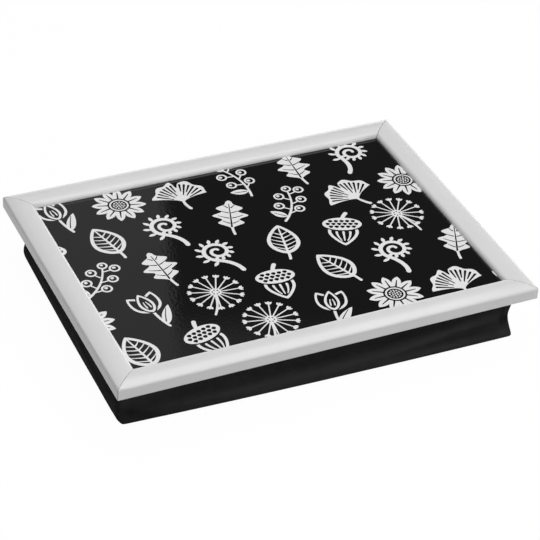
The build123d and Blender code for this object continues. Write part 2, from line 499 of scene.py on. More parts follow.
# %% [markdown]
# ## Printed board
# The face is a sheet of high-gloss laminate with the print under its clear surface, so black and white shine
# alike. The print is a repeating design of leaves, flowers and seeds, white on black, each about 50 mm high,
# with black veins and dots. Every motif is a list of flat outlines from short formulas, laid one on another
# as a stencil printer would: each later one covers what is under it. One triangulation of all the outlines
# then cuts the board's top into black and white, so that the ink lies flush and the sheet stays one closed
# slab.

# %% Outlines of motifs, in mm
WHITE, BLACK = 1, 0


def turned_flat(points, degrees):
    """Points turned about the origin."""
    turn = math.radians(degrees)
    cosine, sine = math.cos(turn), math.sin(turn)
    return np.asarray(points) @ np.array([[cosine, sine], [-sine, cosine]])


def ellipse(x, y, across, upward, turn=0.0, count=36):
    """A closed ellipse about (x, y): across cos(a), upward sin(a), turned."""
    angle = np.linspace(0, 2 * math.pi, count, endpoint=False)
    return turned_flat(np.stack([across * np.cos(angle), upward * np.sin(angle)], -1), turn) + [x, y]


def blade(x, y, length, width, turn=0.0, fullest=0.45, bend=0.0, count=22):
    """A leaf or petal from (x, y): at share t of its length the half width is width / 2 * sin(pi * t^k)^0.8.

    k puts the widest place at the share 'fullest', and the midline bends aside by bend * t^2.
    """
    t = np.linspace(0, 1, count)
    half = width / 2 * np.clip(np.sin(math.pi * t ** (math.log(0.5) / math.log(fullest))), 0, 1) ** 0.8
    near = np.stack([bend * t**2 + half, t * length], -1)
    far = np.stack([bend * t**2 - half, t * length], -1)
    return turned_flat(np.concatenate([near, far[-2:0:-1]]), turn) + [x, y]


def ribbon(line, width, end_width=None):
    """A stroke along a line of points: the line moved aside by half its width both ways, with round ends."""
    line = np.asarray(line, float)
    ahead = np.gradient(line, axis=0)
    ahead /= np.linalg.norm(ahead, axis=1)[:, None]
    aside = np.stack([-ahead[:, 1], ahead[:, 0]], -1)
    half = np.linspace(width, width if end_width is None else end_width, len(line))[:, None] / 2
    turn = np.radians(np.linspace(60, -60, 5))[:, None]
    far = line[-1] + half[-1] * (np.cos(turn) * ahead[-1] + np.sin(turn) * aside[-1])
    near = line[0] - half[0] * (np.cos(turn) * ahead[0] + np.sin(turn) * aside[0])
    return np.concatenate([line + aside * half, far, (line - aside * half)[::-1], near])


def curve(start, middle, end, count=10):
    """A curve from a to c that b pulls aside: (1 - t)^2 a + 2 t (1 - t) b + t^2 c."""
    t = np.linspace(0, 1, count)[:, None]
    return (1 - t) ** 2 * np.array(start) + 2 * t * (1 - t) * np.array(middle) + t**2 * np.array(end)


def vein(side, low, middle, high, width=1.2, ink=BLACK):
    """A stroke that narrows, mirrored where side is -1."""
    return ink, ribbon(curve(*[(side * x, y) for x, y in (low, middle, high)], 7), width, 0.7)


# %% Motifs: leaf, daisy and fern


def veined_leaf():
    """A blade on a stalk, hollowed by a smaller black blade, with a midrib and five pairs of bowed veins."""
    shapes = [
        (WHITE, ribbon(curve((0, -27), (1, -20), (0, -14)), 2.8)),
        (WHITE, blade(0, -19, 46, 31, 0, 0.42)),
        (BLACK, blade(0, -15, 38, 23.5, 0, 0.42)),
        (WHITE, ribbon(curve((0, -18), (0.4, 0), (0, 22)), 2.6, 1.4)),
    ]
    for k in range(5):
        y = -12 + 5.8 * k
        reach = 11.8 - 0.5 * (k - 1.4) ** 2
        line = ((0, y), (reach / 2, y + 2.2), (reach, y + 6.0))
        shapes += [vein(side, *line, 1.7, WHITE) for side in (-1, 1)]
    return shapes


def daisy():
    """Twelve petals every 30 degrees, each with a dark centre line, round a disc of 1, 6 and 12 dots."""
    shapes = [(WHITE, blade(0, 0, 26, 8.6, 30 * k + 8, 0.66)) for k in range(12)]
    for k in range(12):
        aim = turned_flat([(0, 1)], 30 * k + 8)[0]
        shapes.append((BLACK, ribbon(np.linspace(10, 20.5, 4)[:, None] * aim, 1.9, 0.9)))
    shapes += [(ink, ellipse(0, 0, r, r)) for ink, r in ((BLACK, 11.0), (WHITE, 9.2), (BLACK, 7.6))]
    for reach, count in ((0.0, 1), (2.6, 6), (5.1, 12)):
        for k in range(count):
            angle = 2 * math.pi * k / count
            x, y = reach * math.cos(angle), reach * math.sin(angle)
            shapes.append((WHITE, ellipse(x, y, 0.9, 0.9, 0, 10)))
    return shapes


def fiddlehead():
    """A curled fern tip: a spiral whose radius grows as share^0.9, run on into a stem, with blades on it."""
    turns, start, rise = 1.55, 0.6, 8.0

    def coil(share):
        """The spiral's point at a share of its turns, and its angle in degrees."""
        angle = start + share * 2 * math.pi * turns
        radius = 2.8 + 11.4 * share**0.9
        return np.stack([radius * np.cos(angle), rise + radius * np.sin(angle)], -1), np.degrees(angle)

    line, _ = coil(np.linspace(0, 1, 60))
    tail = curve(line[-1], line[-1] + (line[-1] - line[-3]) * 3.4, (-2, -28), 14)[1:]
    shapes = [(WHITE, ribbon(np.concatenate([line, tail]), 3.0, 4.6))]
    for k in range(13):
        share = 0.36 + 0.64 * k / 12
        place, angle = coil(np.array(share))
        shapes.append((WHITE, blade(*place, 4.2 + 6.0 * share, 3.6, angle - 120, 0.6, 0, 12)))
    return shapes


# %% Motifs: tulip, lobed leaf and seed head


def tulip():
    """Three hollow petals, the outer two leaning 21 degrees aside, on a bent stem with one long leaf."""
    shapes = [
        (WHITE, ribbon(curve((0, 2), (-1.5, -14), (2, -27)), 2.6)),
        (WHITE, blade(1.2, -24, 28, 9, -26, 0.4, 3.0)),
        (BLACK, ribbon(curve((2.4, -20), (6.2, -12), (12, -3.5), 8), 1.2, 0.7)),
    ]
    shapes += [(WHITE, blade(0, -3, 30, 18, 21 * side, 0.42, -1.5 * side)) for side in (1, -1)]
    shapes += [(BLACK, blade(-1.2 * side, -0.5, 24, 12.4, 21 * side, 0.42, -1.5 * side)) for side in (1, -1)]
    shapes += [(BLACK, blade(0, -4.6, 31.5, 17.4, 0, 0.42)), (WHITE, blade(0, -3, 28.5, 14, 0, 0.42))]
    shapes.append((BLACK, blade(0, -0.2, 22.5, 9.2, 0, 0.42)))
    for aside in (-1.9, 1.9):
        shapes.append((WHITE, ribbon([(aside, 4.5), (aside, 8.75), (aside * 0.6, 13)], 1.5, 0.9)))
    return shapes


def lobed_leaf():
    """A half width of sin(pi t^0.85)^0.75, waved by a cosine for its lobes, mirrored about the midrib."""
    t = np.linspace(0, 1, 60)
    half = 17.0 * np.sin(math.pi * t**0.85) ** 0.75 * (0.76 + 0.24 * np.cos(7 * math.pi * t + 2.7))
    edge = np.stack([np.maximum(half, 0.9), -18 + 45 * t], -1)
    shapes = [(WHITE, ribbon(curve((2, -28), (0.5, -22), (0, -15)), 2.6))]
    shapes.append((WHITE, np.concatenate([edge, (edge * [-1, 1])[::-1]])))
    shapes.append((BLACK, ribbon(curve((0, -16), (0.3, 0), (0, 21)), 1.8, 0.8)))
    for k, reach in enumerate((8.0, 11.6, 10.4, 5.4)):
        y = -10.5 + 8.6 * k
        shapes += [vein(side, (1.7, y), (reach * 0.6, y + 1.6), (reach, y + 4.2), 1.4) for side in (-1, 1)]
    return shapes


def seed_head():
    """Fifteen spokes round a ball, 24 degrees apart, each ending in a fan of three small blades."""
    shapes = [(WHITE, ribbon(curve((0, 0), (3, -14), (0, -28), 14), 2.2))]
    for k in range(15):
        angle = -90 + 24 * (k + 0.5)
        aim = np.array([math.cos(math.radians(angle)), math.sin(math.radians(angle))])
        root, tip = np.array([0, 5]) + 3.4 * aim, np.array([0, 5]) + 21 * aim
        shapes.append((WHITE, ribbon([root, (root + tip) / 2, tip], 1.3)))
        shapes += [(WHITE, blade(*tip, 5.4, 2.3, angle - 90 + fan, 0.6, 0, 8)) for fan in (-32, 0, 32)]
    shapes.append((WHITE, ellipse(0, 5, 5.4, 5.4)))
    for k in range(6):
        angle = math.pi * k / 3
        shapes.append((BLACK, ellipse(3 * math.cos(angle), 5 + 3 * math.sin(angle), 0.8, 0.8, 0, 10)))
    return shapes


# %% Motifs: berries, acorn and ginkgo


def berry_twig():
    """A curved stem with ringed berries on short stalks, taken alternately to either side, and one leaf."""
    stem = curve((-9, -27), (7, -4), (2, 24), 24)
    shapes = [(WHITE, ribbon(stem, 2.6, 1.6))]
    for at, side in ((6, 1), (9, -1), (13, 1), (16, -1), (20, 1)):
        x, y = stem[at]
        berry = np.array([x + side * 10.5, y + 6.5])
        shapes.append((WHITE, ribbon(curve((x, y), (x + side * 4, y + 1), berry, 8), 1.5)))
        shapes.append((WHITE, ellipse(*berry, 5.4, 5.4, 0, 28)))
        shapes.append((BLACK, ellipse(*berry, 3.5, 3.5, 0, 24)))
        shapes.append((WHITE, ellipse(*(berry + [-0.8, 0.8]), 1.7, 1.7, 0, 16)))
    shapes += [(WHITE, ellipse(2, 26, 5.0, 5.0, 0, 28)), (BLACK, ellipse(2, 26, 3.1, 3.1, 0, 24))]
    shapes.append((WHITE, ellipse(1.2, 26.8, 1.5, 1.5, 0, 16)))
    shapes.append((WHITE, blade(-5.4, -19.5, 18, 8.5, 62, 0.45, 1.5)))
    shapes.append((BLACK, ribbon(curve((-7.5, -18.4), (-12, -16), (-17.6, -12.6), 6), 1.2, 0.7)))
    return shapes


def acorn():
    """A pointed nut with three light ribs under an oval cup, which is set with three rows of scales."""
    shapes = [
        (WHITE, ribbon(curve((0, 12), (1, 19), (5, 25)), 3.4, 4.2)),
        (WHITE, blade(0, 8, 35, 29, 180, 0.36)),
        (BLACK, blade(0, 6, 29.5, 23, 180, 0.36)),
        (BLACK, ellipse(0, 6.2, 19.2, 10.6)),
        (WHITE, ellipse(0, 7.6, 18.8, 10.2)),
    ]
    for aside in (-6.4, 0.0, 6.4):
        shapes.append((WHITE, ribbon(curve((aside, -5.5), (aside, -12), (aside * 0.45, -19), 8), 2.4, 1.2)))
    for y, count in ((12.3, 5), (7.8, 6), (3.3, 5)):
        for k in range(count):
            shapes.append((BLACK, blade((k - (count - 1) / 2) * 5.4, y + 1.9, 4.4, 4.4, 180, 0.4, 0, 9)))
    return shapes


def ginkgo():
    """A fan leaf: r = 28 + 1.3 cos(11 a), less a narrow notch at the top."""
    angle = np.radians(np.linspace(14, 166, 48))
    reach = 28 + 1.3 * np.cos(11 * angle) - 9.5 * np.exp(-(((angle - math.pi / 2) / 0.085) ** 2))
    rim = np.stack([reach * np.cos(angle), -14 + reach * np.sin(angle) * 1.16], -1)
    left, right = curve(rim[-1], (-7, -9), (-1.2, -15), 8)[1:], curve((1.2, -15), (7, -9), rim[0], 8)[:-1]
    shapes = [(WHITE, np.concatenate([rim, left, right]))]
    shapes.append((WHITE, ribbon(curve((0, -12), (-1, -20), (3, -28)), 2.4, 3.4)))
    for k in (n for n in range(13) if n != 6):
        spread = math.radians(26 + 128 * k / 12)
        reach = np.linspace(9 if k % 2 == 0 else 14, 24, 6)
        line = np.stack([reach * np.cos(spread), -14 + reach * np.sin(spread) * 1.14], -1)
        shapes.append((BLACK, ribbon(line, 1.1, 2.4)))
    return shapes


# %% Layout of the print
# Sizes in mm. Every other row lies half a pitch aside and takes its motifs at another stride.
motifs = (veined_leaf, daisy, fiddlehead, tulip, lobed_leaf, seed_head, berry_twig, acorn, ginkgo)
pitch_across = 66.0
pitch_upward = 58.5
rows = range(-1, 6)
columns = range(-1, 8)
motif_reach = 37.0
motif_scale = 1.08
most_tilt = 24
half_board = np.array([board_high.x, board_high.y]) / MM
first_place = np.array([22.0, 27.0]) - half_board
shapes = []
for row in rows:
    for column in columns:
        place = first_place + [(column + 0.5 * (row % 2)) * pitch_across, row * pitch_upward]
        if np.any(np.abs(place) > half_board + motif_reach):
            continue
        stride = 2 if row % 2 else 7
        motif = motifs[(3 * row + stride * column) % len(motifs)]
        tilt = most_tilt * math.sin(2.1 * row + 1.7 * column + 0.6)
        shapes += [(ink, turned_flat(outline, tilt) * motif_scale + place) for ink, outline in motif()]
print("outlines in the print:", len(shapes))

# %% Cut the print into triangles
# In mm: points closer than the first are one point, and a point is on the board's border within the second.
same_point = 1e-4
border_slack = 1e-3


def inside(points, outline):
    """Whether points lie in an outline: the sum of its signed crossings to their right isn't zero."""
    after = np.roll(outline, -1, 0)
    x, y = points[:, 0:1], points[:, 1:2]
    rises = after[:, 1] - outline[:, 1]
    with np.errstate(divide="ignore", invalid="ignore"):
        meet = outline[:, 0] + (y - outline[:, 1]) / rises * (after[:, 0] - outline[:, 0])
    upward = (outline[:, 1] <= y) & (after[:, 1] > y) & (meet > x)
    downward = (outline[:, 1] > y) & (after[:, 1] <= y) & (meet > x)
    return upward.sum(1) != downward.sum(1)


def cut_print():
    """Triangles of the board's face and the colour of each.

    They come from one triangulation that keeps every outline as edges. A triangle takes the colour of the
    last outline that it lies in.
    """
    border = half_board * [[-1, -1], [1, -1], [1, 1], [-1, 1]]
    outlines = [border] + [outline for _, outline in shapes]
    points = np.concatenate(outlines)
    edges, first = [], 0
    for outline in outlines:
        ring = np.arange(len(outline))
        edges += np.stack([first + ring, first + np.roll(ring, -1)], -1).tolist()
        first += len(outline)
    made = delaunay_2d_cdt([Vector(p) for p in points.tolist()], edges, [], 0, same_point, False)
    corners = np.array([list(v) for v in made[0]])
    triangles = np.array([list(f) for f in made[2]])
    middle = corners[triangles].mean(1)
    keep = np.all(np.abs(middle) < half_board, axis=1)
    triangles, middle = triangles[keep], middle[keep]
    colour = np.zeros(len(triangles), int)
    for ink, outline in shapes:
        low, high = outline.min(0), outline.max(0)
        near = np.flatnonzero(np.all((middle > low) & (middle < high), axis=1))
        colour[near[inside(middle[near], outline)]] = ink
    used, triangles = np.unique(triangles, return_inverse=True)
    return np.clip(corners[used], -half_board, half_board), triangles.reshape(-1, 3), colour


flat, triangles, ink = cut_print()
on_border = np.flatnonzero(np.any(np.abs(flat) > half_board - border_slack, axis=1))
border_order = on_border[np.argsort(np.arctan2(flat[on_border, 1], flat[on_border, 0]))]
face_top = np.column_stack([flat * MM, np.full(len(flat), board_high.z)])
face_foot = np.column_stack([flat[border_order] * MM, np.full(len(border_order), board_low.z)])
foot_ring = len(flat) + np.arange(len(border_order))
sides = np.stack([border_order, foot_ring, np.roll(foot_ring, -1), np.roll(border_order, -1)], -1)
faces = triangles.tolist() + sides.tolist() + [foot_ring[::-1].tolist()]
print("triangles in the printed face:", len(triangles), "white share:", round(float(ink.mean()), 2))

# %% Gloss laminate
laminate_peel_size = 3.2 * MM
laminate_peel_depth = 0.018 * MM


def gloss_laminate(name, colour):
    """Print under a clear high-gloss surface, flat but for the slight orange peel that the press leaves."""
    material, tree, shader = new_material(name)
    shader.inputs["Base Color"].default_value = linear(colour)
    shader.inputs["Roughness"].default_value = 0.025
    shader.inputs["IOR"].default_value = 1.55
    where = add_node(tree, "ShaderNodeTexCoord").outputs["Object"]
    peel = add_node(
        tree, "ShaderNodeTexNoise", {"Vector": where, "Scale": 1 / laminate_peel_size, "Detail": 2.0}
    )
    bump = add_node(
        tree,
        "ShaderNodeBump",
        {"Height": peel.outputs["Fac"], "Strength": 1.0, "Distance": laminate_peel_depth},
    )
    tree.links.new(bump.outputs["Normal"], shader.inputs["Normal"])
    return material


black_print = gloss_laminate("gloss_laminate_black_ink", "#080808")
white_print = gloss_laminate("gloss_laminate_white_ink", "#E8E8E8")
printed_face = new_piece(
    "printed_face", np.concatenate([face_top, face_foot]), faces, [black_print, white_print], smooth=False
)
ink_index = np.concatenate([ink, np.zeros(len(faces) - len(ink), int)]).astype(np.int32)
printed_face.data.polygons.foreach_set("material_index", ink_index)
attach(printed_face, "root")
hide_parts("printed_laminate")
print("faces of the printed board:", len(printed_face.data.polygons))

# %% [markdown]
# ## Bead cushion
# The bag is box sewn: four side panels and a bottom panel of black cotton, with its hem stapled under the
# rails. Loose foam beads fill it. They have slid a little to the left and turned under the tray, so the left
# side bulges, the front is drawn in under the rail and pushed out at its foot on the right, and the front
# left corner sags to a point.
# A cloth simulation could make it, but gives soft pillows where this bag has long slanting folds. So the
# settled form is a table of insets from the tray's outer edge, at four levels on each side, with a smooth
# curve through them. The cloth is held along the hem and heavy at the foot, so its creases are long, shallow
# and slanting: each is a soft ridge or hollow along a line on its panel, and short upright puckers gather at
# the right corner.

# %% Settled form of the bag
cells_long = 104
cells_short = 76
cells_down = 15
cell_size = 4 * MM
cell_drop = 3.5 * MM
corner_cells = 8
blend_cells = 23
around = 2 * (cells_long + cells_short)
corner_columns = np.cumsum([0, cells_long, cells_short, cells_long])
level_knots = np.array([0.0, 0.46, 0.80, 1.0])
hem_inset = (11, 11, 11)
# Insets in mm at a side's start, middle and end, anticlockwise, at hem, waist, belly and bottom seam.
insets = {
    "front": [hem_inset, (17.0, 22.5, 20.0), (18.0, 13.0, 11.2), (18.8, 10.3, 6.8)],
    "right": [hem_inset, (12.6, 14.0, 13.0), (16.0, 14.0, 13.0), (16.7, 16.0, 16.0)],
    "back": [hem_inset, (9, 9.5, 26), (9, 9, 24), (14, 14, 27)],
    "left": [hem_inset, (13.0, 6.0, 6.0), (9.5, 7.0, 7.2), (13.0, 12.0, 11.6)],
}
# Heights in mm of the same levels at a side's start and end. The front belly climbs from left to right.
heights = {
    "front": [(49.7, 49.7), (25, 36), (9, 21), (2.6, 2.6)],
    "right": [(49.7, 49.7), (30, 28), (15, 13), (2.6, 3.0)],
    "back": [(49.7, 49.7), (28, 28), (13, 13), (3.0, 3.0)],
    "left": [(49.7, 49.7), (29, 26), (14, 10), (3.0, 2.6)],
}
# Corner radius in plan at the same levels: front left, front right, back right, back left.
corner_radii = [(2.5, 3, 4, 1), (2.5, 5, 15, 4), (2.5, 7, 14, 8), (2.5, 7, 12, 8)]


def through(values, at):
    """A smooth curve through the values at the level knots.

    It is made of cubic pieces, whose inner slopes are the harmonic means of the slopes beside them.
    """
    values = np.asarray(values, float).reshape(len(level_knots), -1)
    step = np.diff(level_knots)[:, None]
    slope = np.diff(values, axis=0) / step
    product = slope[:-1] * slope[1:]
    total = np.where(product > 0, slope[:-1] + slope[1:], 1)
    inner = np.where(product > 0, 2 * product / total, 0)
    tangent = np.concatenate([slope[:1], inner, slope[-1:]])
    i = np.clip(np.searchsorted(level_knots, at, side="right") - 1, 0, len(level_knots) - 2)
    u = ((at - level_knots[i]) / step[i, 0])[:, None]
    pulls = u * (1 - u) ** 2 * tangent[i] - u * u * (1 - u) * tangent[i + 1]
    return (1 + 2 * u) * (1 - u) ** 2 * values[i] + u * u * (3 - 2 * u) * values[i + 1] + pulls * step[i]


print("cells round the bag:", around, "and down its sides:", cells_down)

# %% Walls of the bag


def bowed_plan(inset, corners, half):
    """Rows of points round the bag in plan, with sharp corners.

    A side bows in the share s of its length, as the parabola through its insets at s = 0, 1/2 and 1.
    """
    plan = []
    for k, side in enumerate(side_names):
        count = (cells_long, cells_short)[k % 2]
        share = np.arange(count) / count
        start, middle, end = inset[side].T[:, :, None]
        bow = start * (1 - share) * (1 - 2 * share) + 4 * middle * share * (1 - share)
        bow = bow + end * share * (2 * share - 1)
        row = corners[k][:, None] * (1 - share[:, None]) + corners[(k + 1) % 4][:, None] * share[:, None]
        axis, sign = ((1, -1), (0, 1), (1, 1), (0, -1))[k]
        row[:, :, axis] = sign * (half[axis] - bow)
        plan.append(row)
    return np.concatenate(plan, 1)


def rounded(plan, corners, down):
    """The plan with round corners.

    Points nearer to a corner than its radius c go onto the circle of radius c about the point c in from both
    sides.
    """
    for corner, column, radii in zip(corners, corner_columns, corner_radii):
        radius = through(radii, down)
        inward_sign = -np.sign(corner[:1])
        centre = corner + inward_sign * radius
        for step in range(-corner_cells, corner_cells + 1):
            at = (column + step) % around
            aside = plan[:, at] - centre
            beyond = np.all(aside * inward_sign < 0, axis=1, keepdims=True)
            pushed = centre + aside / np.linalg.norm(aside, axis=1, keepdims=True) * radius
            plan[:, at] = np.where(beyond, pushed, plan[:, at])
    return plan


def blended_heights(down):
    """Heights of the rows, in proportion along each side and blended smoothly round the corners."""
    window = np.hanning(blend_cells)[1:-1]
    pad = len(window) // 2
    level = 0
    for k, side in enumerate(side_names):
        count = (cells_long, cells_short)[k % 2]
        share = np.arange(count) / count
        start, end = through(heights[side], down).T[:, :, None]
        whole = np.empty((cells_down + 1, around))
        whole[:, (corner_columns[k] + np.arange(count)) % around] = start * (1 - share) + end * share
        past = np.arange(around - count)
        whole[:, (corner_columns[k] + count + past) % around] = np.where(past < len(past) / 2, end, start)
        own = np.zeros(around)
        own[corner_columns[k] : corner_columns[k] + count] = 1
        blended = np.convolve(np.pad(own, pad, mode="wrap"), window / window.sum(), "valid")
        level = level + whole * blended
    return level


def settled_walls():
    """The side panels as rows of points round the bag, hem first."""
    down = np.linspace(0, 1, cells_down + 1)
    inset = {side: through(insets[side], down) for side in side_names}
    half = np.array([half_length, half_width]) / MM
    front, right, behind, left = inset.values()
    corners = [
        np.stack([-half[0] + left[:, 2], -half[1] + front[:, 0]], -1),
        np.stack([half[0] - right[:, 0], -half[1] + front[:, 2]], -1),
        np.stack([half[0] - right[:, 2], half[1] - behind[:, 0]], -1),
        np.stack([-half[0] + left[:, 0], half[1] - behind[:, 2]], -1),
    ]
    plan = rounded(bowed_plan(inset, corners, half), corners, down)
    return np.concatenate([plan, blended_heights(down)[..., None]], -1) * MM


walls = settled_walls()
print("bag in plan in mm:", np.ptp(walls[..., 0]) / MM, np.ptp(walls[..., 1]) / MM)

# %% Creases
# Each: share of the side and height in mm at both ends of its line, half width in mm, and relief in mm,
# which is below 0 for a hollow. A line may run past its panel's corner, to a share below 0 or over 1.
creases = {
    "front": [
        (0.03, 15, 0.42, 13, 3.6, 1.4),
        (0.22, 11, 0.80, 18, 4.0, 2.2),
        (0.64, 16, 0.985, 28, 3.6, 2.2),
        (0.50, 7, 0.90, 15, 3.2, -1.8),
        (0.68, 12, 1.04, 22, 4.8, -3.4),
        (0.56, 4, 0.99, 10, 3.2, 1.2),
        (0.84, 15, 0.99, 14, 3.6, -1.8),
        (0.60, 27, 0.88, 31, 3.0, -0.6),
        (-0.02, 24, 0.10, 4, 5.0, -1.8),
        (0.972, 12, 0.968, 32, 3.0, -2.4),
        (0.985, 6, 0.990, 28, 3.4, -2.4),
    ],
    "right": [
        (0.012, 6, 0.010, 28, 3.4, -1.2),
        (0.06, 5, 0.30, 38, 4.4, 1.6),
        (0.20, 6, 0.70, 30, 4.4, -1.8),
        (0.45, 8, 0.90, 36, 4.4, 1.6),
    ],
    "back": [
        (0.08, 8, 0.55, 34, 4.6, 2.0),
        (0.30, 6, 0.80, 24, 4.4, -1.8),
        (0.55, 12, 0.95, 38, 4.4, 1.8),
    ],
    "left": [
        (0.05, 34, 0.50, 16, 4.4, 0.6),
        (0.30, 36, 0.85, 12, 4.4, -0.6),
        (0.55, 34, 0.96, 8, 4.0, 0.7),
    ],
}


def relief(share, height, length, lines):
    """How far creases lift the cloth in mm: r exp(-(d / w)^2) sin(pi t)^0.7, summed over the lines.

    r is a line's relief and w its half width, d is how far a point lies from it, and t its share along it.
    """
    total = np.zeros_like(height)
    for share_0, height_0, share_1, height_1, half_width_mm, lift in lines:
        along, rise = (share_1 - share_0) * length, height_1 - height_0
        x, y = (share - share_0) * length, height - height_0
        run = along**2 + rise**2
        t = (x * along + y * rise) / run
        away = (x * rise - y * along) / math.sqrt(run)
        total += lift * np.exp(-((away / half_width_mm) ** 2)) * np.sin(math.pi * np.clip(t, 0, 1)) ** 0.7
    return total


def creased(walls):
    """The side panels with their creases, lifted square to the cloth, and the lift in mm.

    The lift times sin(pi s)^0.35, at share s of the way down, leaves hem and bottom seam where they are.
    """
    down = np.roll(walls, -1, 0) - walls
    down[-1] = down[-2]
    along = np.roll(walls, -1, 1) - np.roll(walls, 1, 1)
    outward = np.cross(down, along)
    outward /= np.linalg.norm(outward, axis=-1, keepdims=True)
    height = walls[..., 2] / MM
    lift = np.zeros(height.shape)
    for k, side in enumerate(side_names):
        count = (cells_long, cells_short)[k % 2]
        columns = corner_columns[k] + np.arange(count)
        length = 2 * (half_length, half_width)[k % 2] / MM
        lift[:, columns] = relief(np.arange(count)[None] / count, height[:, columns], length, creases[side])
    held = np.sin(math.pi * np.linspace(0, 1, cells_down + 1))[:, None] ** 0.35
    return walls + outward * (lift * held)[..., None] * MM, lift * held


walls, lift = creased(walls)
print("creases:", sum(map(len, creases.values())), "highest in mm:", round(float(lift.max()), 1))

# %% Close the bag
seam_fall = 14 * MM


def panel_grid(ring):
    """Points of a flat panel, blended from its border.

    They are the sum of the two surfaces ruled between opposite edges, less the bilinear one of the corners.
    """
    a, b, c = corner_columns[1:]
    front, right = ring[: a + 1], ring[a : b + 1]
    behind, left = ring[b : c + 1][::-1], np.concatenate([ring[c:], ring[:1]])[::-1]
    u = np.linspace(0, 1, cells_long + 1)[:, None, None]
    v = np.linspace(0, 1, cells_short + 1)[None, :, None]
    corners = (1 - u) * (1 - v) * front[0] + u * (1 - v) * front[-1]
    corners = corners + (1 - u) * v * behind[0] + u * v * behind[-1]
    return (1 - v) * front[:, None] + v * behind[:, None] + (1 - u) * left[None] + u * right[None] - corners


def panel_faces(border, first_inner):
    """Quads of a panel, from the numbers of its border points in order round it.

    Its inner points are numbered from first_inner.
    """
    grid = np.empty((cells_long + 1, cells_short + 1), int)
    inner = (cells_long - 1, cells_short - 1)
    grid[1:-1, 1:-1] = first_inner + np.arange(inner[0] * inner[1]).reshape(inner)
    a, b, c = corner_columns[1:]
    grid[:, 0] = border[: a + 1]
    grid[-1, :] = border[a : b + 1]
    grid[:, -1] = border[b : c + 1][::-1]
    grid[0, 1:] = border[c:][::-1]
    return np.stack([grid[:-1, :-1], grid[1:, :-1], grid[1:, 1:], grid[:-1, 1:]], -1).reshape(-1, 4)


def closed_bag(walls):
    """Points and faces of the whole bag: walls, a lid under the board, and a bottom.

    The bottom keeps 1 - f^2 (3 - 2 f) of the seam's height, where f grows from 0 to 1 within seam_fall.
    """
    lid, bottom = panel_grid(walls[0]), panel_grid(walls[-1])
    i, j = np.meshgrid(np.arange(cells_long + 1), np.arange(cells_short + 1), indexing="ij")
    inner = np.minimum(np.minimum(i, cells_long - i), np.minimum(j, cells_short - j)) * cell_size
    fall = np.clip(inner / seam_fall, 0, 1)
    bottom[..., 2] *= 1 - fall * fall * (3 - 2 * fall)
    parts = [walls.reshape(-1, 3), lid[1:-1, 1:-1].reshape(-1, 3), bottom[1:-1, 1:-1].reshape(-1, 3)]
    first = np.cumsum([len(part) for part in parts])
    hem, seam = np.arange(around), cells_down * around + np.arange(around)
    side_faces = [face[::-1] for face in ring_faces(cells_down + 1, around)]
    lid_faces = panel_faces(hem, first[0]).tolist()
    bottom_faces = panel_faces(seam, first[1])[:, ::-1].tolist()
    points = np.concatenate(parts)
    points[:, 2] = np.maximum(points[:, 2], 0.0)
    return points, side_faces + lid_faces + bottom_faces


points, faces = closed_bag(walls)
print("bag points:", len(points), "faces:", len(faces))

# %% [markdown]
# ## Bag cloth
# The bag is sewn from a matt black plain-weave cotton, the kind sold for cushion linings.
# The cloth's colour carries painted light and shade: it is lighter on the ridges of its creases and where
# the bag bulges out from under the rails, and darker, as painted shade, in the hollows and far under a rail.
# A point attribute holds that painted shading, and a noise of dust and yarn slubs breaks it up. A noise
# drawn out along the cloth gives the small soft creases, and two waves give the weave, with threads 0.55 mm
# apart.
# Both follow the cloth's own cut, so they are laid on a UV map in metres.

# %% Cloth material
dust_size = 14 * MM
dust_weight = 0.8
slubs_per_metre = (120.0, 1400.0, 1.0)
thread_pitch = 0.55 * MM
thread_depth = 0.12 * MM
drapes_per_metre = (13.0, 105.0, 1.0)
drape_turn = (0, 0, 0.09)
drape_depth = 2.5 * MM
drape_low, drape_high = 1 * MM, 8 * MM

black_cotton, tree, shader = new_material("black_cotton_plain_weave")
shader.inputs["Roughness"].default_value = 0.92
shader.inputs["Specular IOR Level"].default_value = 0.04
cut = add_node(tree, "ShaderNodeUVMap", uv_map="cut").outputs["UV"]
where = add_node(tree, "ShaderNodeTexCoord").outputs["Object"]
dust = add_node(tree, "ShaderNodeTexNoise", {"Vector": where, "Scale": 1 / dust_size, "Detail": 3.0})
slub_space = add_node(tree, "ShaderNodeMapping", {"Vector": cut, "Scale": slubs_per_metre}).outputs["Vector"]
slub = add_node(tree, "ShaderNodeTexNoise", {"Vector": slub_space, "Scale": 1.0, "Detail": 2.0})
uneven = add_node(
    tree, "ShaderNodeMath", {0: dust.outputs["Fac"], 1: slub.outputs["Fac"]}, operation="MULTIPLY"
)
# Painted shading: a point attribute that lightens ridges and bulges and leaves the cloth darker in hollows
# and under the rails.
painted_shading = add_node(tree, "ShaderNodeAttribute", attribute_name="painted_shading")
grey = add_node(
    tree,
    "ShaderNodeMath",
    {0: uneven.outputs[0], 1: dust_weight, 2: painted_shading.outputs["Fac"]},
    operation="MULTIPLY_ADD",
)
tint = add_node(
    tree,
    "ShaderNodeMix",
    {"Factor": grey.outputs[0], "A": linear("#0A0A0A"), "B": linear("#353535")},
    data_type="RGBA",
)
tree.links.new(tint.outputs["Result"], shader.inputs["Base Color"])

# %% Relief of the cloth
# A wave node repeats after pi / 10 over its scale, which is two threads here, one over and one under.
weave = []
for band in ("X", "Y"):
    wave = add_node(
        tree,
        "ShaderNodeTexWave",
        {"Vector": cut, "Scale": math.pi / (20 * thread_pitch), "Distortion": 0.4, "Detail": 1.0},
        bands_direction=band,
    )
    weave.append(wave.outputs["Fac"])
threads = add_node(tree, "ShaderNodeMath", {0: weave[0], 1: weave[1]}, operation="MULTIPLY")
drape_space = add_node(
    tree, "ShaderNodeMapping", {"Vector": cut, "Rotation": drape_turn, "Scale": drapes_per_metre}
)
drape = add_node(
    tree, "ShaderNodeTexNoise", {"Vector": drape_space.outputs["Vector"], "Scale": 1.0, "Detail": 2.0}
)
